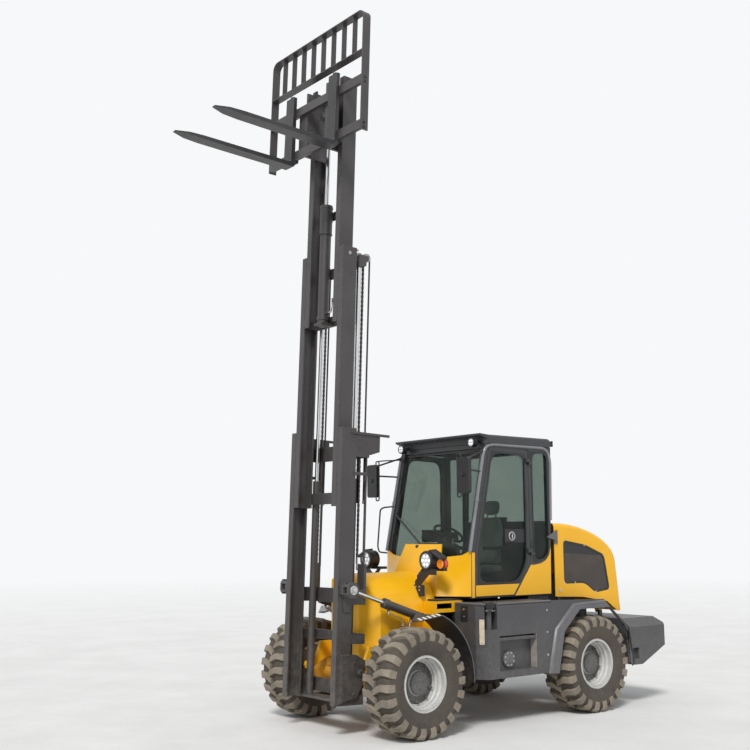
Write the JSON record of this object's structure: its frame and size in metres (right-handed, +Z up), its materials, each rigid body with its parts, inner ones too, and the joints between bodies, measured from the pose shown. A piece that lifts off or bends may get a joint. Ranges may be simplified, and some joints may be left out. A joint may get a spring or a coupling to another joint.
{
  "type": "rough terrain forklift",
  "caption": "Rough terrain forklift with a raised three-stage mast, forks on a carriage with a load backrest, a closed cab, side tanks and large lugged tyres.",
  "frame": {"origin": "on the ground below the middle of the whole machine, forks included", "axes": "+X forward along the forks, +Y to the driver's left, +Z up; the mast is raised and leans back 2.1 degrees"},
  "size_m": [6.0848, 2.24, 7.563],
  "materials": {
    "yellow_paint": "semi-gloss yellow paint",
    "charcoal_paint": "satin charcoal paint",
    "mast_paint": "satin charcoal paint, greased running faces",
    "axle_paint": "yellow paint on castings",
    "fork_paint": "black paint, worn",
    "rim_paint": "light grey paint",
    "tyre_rubber": "dusty rubber",
    "rod_chrome": "hard chrome",
    "chain_steel": "oiled steel",
    "hose_rubber": "matte rubber",
    "engine_iron": "rough casting",
    "mesh_metal": "woven mesh",
    "charcoal_plastic": "matte",
    "black_plastic": "matte",
    "seat_fabric": "woven",
    "window_glass": "clear, faint grey"
  },
  "bodies": {
    "body": {"chassis_frame": "charcoal_paint", "front_frame": "yellow_paint", "tank_left": "charcoal_paint", "tank_right": "charcoal_paint", "counterweight": "charcoal_paint", "fenders": "charcoal_paint", "engine_block": "engine_iron", "cab_frame": "charcoal_paint", "cab_roof": "charcoal_plastic", "cab_front_panel": "yellow_paint", "cab_glass": "window_glass", "seat": "seat_fabric", "console": "black_plastic", "lamps": "black_plastic", "mirrors": "black_plastic", "front_axle": "axle_paint", "rear_axle": "axle_paint"},
    "wheel_front_left": {"tyre_front_left": "tyre_rubber", "rim_front_left": "rim_paint"},
    "wheel_front_right": {"tyre_front_right": "tyre_rubber", "rim_front_right": "rim_paint"},
    "knuckle_left": {"knuckle_left": "axle_paint"},
    "wheel_rear_left": {"tyre_rear_left": "tyre_rubber", "rim_rear_left": "rim_paint"},
    "knuckle_right": {"knuckle_right": "axle_paint"},
    "wheel_rear_right": {"tyre_rear_right": "tyre_rubber", "rim_rear_right": "rim_paint"},
    "mast": {"mast_outer": "mast_paint", "lift_barrels": "mast_paint", "anchor_chains": "chain_steel"},
    "mast_middle_stage": {"mast_middle": "mast_paint", "lift_rods": "rod_chrome", "mast_chains": "chain_steel", "mast_hoses": "hose_rubber"},
    "mast_inner_stage": {"mast_inner": "mast_paint", "free_lift_barrel": "mast_paint"},
    "fork_carriage": {"carriage": "mast_paint", "backrest": "mast_paint", "fork_left": "fork_paint", "fork_right": "fork_paint"},
    "free_lift_piston": {"free_lift_rod": "rod_chrome"},
    "tilt_cylinder_left": {"tilt_barrel_left": "mast_paint"},
    "tilt_piston_left": {"tilt_rod_left": "rod_chrome"},
    "tilt_cylinder_right": {"tilt_barrel_right": "mast_paint"},
    "tilt_piston_right": {"tilt_rod_right": "rod_chrome"},
    "door_left": {"door_left": "charcoal_paint", "door_glass_left": "window_glass"},
    "door_right": {"door_right": "charcoal_paint", "door_glass_right": "window_glass"},
    "hood": {"hood": "yellow_paint", "hood_mesh": "mesh_metal"}
  },
  "joints": [
    {"name": "wheel_front_left_spin", "type": "hinge", "parent": "body", "child": "wheel_front_left", "pos_m": [0.92265, 0.915, 0.5375], "axis": [0, 1, 0], "continuous": true},
    {"name": "wheel_front_right_spin", "type": "hinge", "parent": "body", "child": "wheel_front_right", "pos_m": [0.92265, -0.915, 0.5375], "axis": [0, 1, 0], "continuous": true},
    {"name": "steer_left", "type": "hinge", "parent": "body", "child": "knuckle_left", "pos_m": [-1.67735, 0.66, 0.5375], "axis": [0, 0, 1], "range_deg": [-25, 25]},
    {"name": "wheel_rear_left_spin", "type": "hinge", "parent": "knuckle_left", "child": "wheel_rear_left", "pos_m": [-1.67735, 0.915, 0.5375], "axis": [0, 1, 0], "continuous": true},
    {"name": "steer_right", "type": "hinge", "parent": "body", "child": "knuckle_right", "pos_m": [-1.67735, -0.66, 0.5375], "axis": [0, 0, 1], "range_deg": [-25, 25]},
    {"name": "wheel_rear_right_spin", "type": "hinge", "parent": "knuckle_right", "child": "wheel_rear_right", "pos_m": [-1.67735, -0.915, 0.5375], "axis": [0, 1, 0], "continuous": true},
    {"name": "mast_tilt", "type": "hinge", "parent": "body", "child": "mast", "pos_m": [1.28265, 0, 0.62], "axis": [0, 1, 0], "range_deg": [-3.9, 8.1]},
    {"name": "mast_middle_slide", "type": "slide", "parent": "mast", "child": "mast_middle_stage", "axis": [-0.0366, 0, 0.9993], "range_m": [-1.975, 0]},
    {"name": "mast_inner_slide", "type": "slide", "parent": "mast_middle_stage", "child": "mast_inner_stage", "axis": [-0.0366, 0, 0.9993], "range_m": [-1.975, 0]},
    {"name": "carriage_slide", "type": "slide", "parent": "mast_inner_stage", "child": "fork_carriage", "axis": [-0.0366, 0, 0.9993], "range_m": [-2.11, 0]},
    {"name": "free_lift_slide", "type": "slide", "parent": "mast_inner_stage", "child": "free_lift_piston", "axis": [-0.0366, 0, 0.9993], "range_m": [-1.055, 0]},
    {"name": "tilt_cylinder_swing_left", "type": "hinge", "parent": "body", "child": "tilt_cylinder_left", "pos_m": [0.52265, 0.555, 1.135], "axis": [0, 1, 0], "range_deg": [-1.8, 3.63]},
    {"name": "tilt_piston_slide_left", "type": "slide", "parent": "tilt_cylinder_left", "child": "tilt_piston_left", "axis": [0.9487, 0, 0.3162], "range_m": [-0.051, 0.1038]},
    {"name": "tilt_cylinder_swing_right", "type": "hinge", "parent": "body", "child": "tilt_cylinder_right", "pos_m": [0.52265, -0.555, 1.135], "axis": [0, 1, 0], "range_deg": [-1.8, 3.63]},
    {"name": "tilt_piston_slide_right", "type": "slide", "parent": "tilt_cylinder_right", "child": "tilt_piston_right", "axis": [0.9487, 0, 0.3162], "range_m": [-0.051, 0.1038]},
    {"name": "door_left_hinge", "type": "hinge", "parent": "body", "child": "door_left", "pos_m": [-1.00835, 0.736, 2.3], "axis": [0, 0, 1], "range_deg": [0, 100]},
    {"name": "door_right_hinge", "type": "hinge", "parent": "body", "child": "door_right", "pos_m": [-1.00835, -0.736, 2.3], "axis": [0, 0, -1], "range_deg": [0, 100]},
    {"name": "hood_hinge", "type": "hinge", "parent": "body", "child": "hood", "pos_m": [-2.63735, 0, 1.05], "axis": [0, -1, 0], "range_deg": [0, 45]}
  ],
  "couplings": [
    {"joint": "steer_right", "follows": "steer_left", "ratio": 1},
    {"joint": "mast_inner_slide", "follows": "mast_middle_slide", "ratio": 1},
    {"joint": "free_lift_slide", "follows": "carriage_slide", "ratio": 0.5},
    {"joint": "tilt_cylinder_swing_left", "follows": "mast_tilt", "ratio": 0.436},
    {"joint": "tilt_piston_slide_left", "follows": "mast_tilt", "m_per_rad": 0.72},
    {"joint": "tilt_cylinder_swing_right", "follows": "mast_tilt", "ratio": 0.436},
    {"joint": "tilt_piston_slide_right", "follows": "mast_tilt", "m_per_rad": 0.72}
  ]
}
